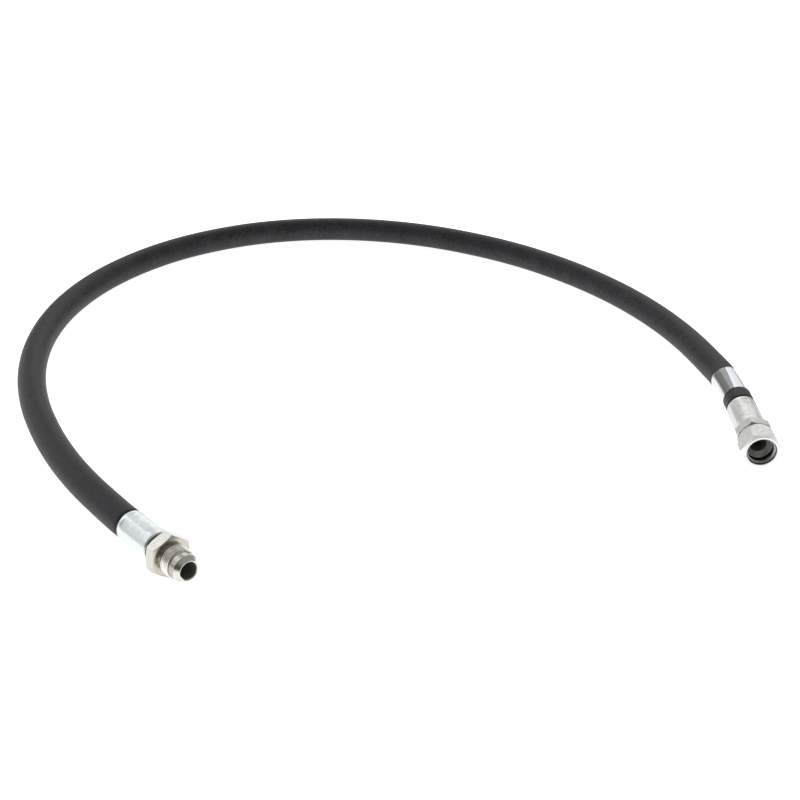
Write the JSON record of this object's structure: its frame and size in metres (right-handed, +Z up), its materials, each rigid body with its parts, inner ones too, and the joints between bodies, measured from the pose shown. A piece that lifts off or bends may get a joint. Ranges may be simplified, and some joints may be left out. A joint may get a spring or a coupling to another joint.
{
  "type": "hydraulic hose assembly",
  "caption": "Wire-braided rubber hydraulic hose lying in a loose arc, with a crimped male flare end and a crimped female swivel-nut end.",
  "frame": {"origin": "on the ground plane, under the middle of the assembly's bounding box", "axes": "+Z up; -Y along the swivel fitting's axis, out of its nut; +X to the right seen from the open side of the arc"},
  "size_m": [0.7551, 0.7576, 0.04],
  "materials": {
    "hose_rubber": "matte, fine cloth-wrap impression",
    "inner_rubber": "smooth",
    "braid_wire": "brass-coated steel wire",
    "zinc_plate": "bluish zinc plate over machined steel",
    "nickel_tint_plate": "bright plate with a warm tint",
    "spring_wire": "bright drawn wire",
    "label_foil": "glossy metallised film"
  },
  "bodies": {
    "hose": {"hose_cover": "hose_rubber", "hose_outer_braid": "braid_wire", "hose_insulation_layer": "inner_rubber", "hose_inner_braid": "braid_wire", "hose_inner_tube": "inner_rubber", "male_stem": "nickel_tint_plate", "male_ferrule": "zinc_plate", "female_stem": "zinc_plate", "female_ferrule": "zinc_plate", "nut_retaining_wire": "spring_wire", "id_label": "label_foil"},
    "nut": {"swivel_nut": "zinc_plate"}
  },
  "joints": [
    {"name": "nut_spin", "type": "hinge", "parent": "hose", "child": "nut", "pos_m": [0.3575, -0.1778, 0.01745], "axis": [0, -1, 0], "continuous": true}
  ]
}
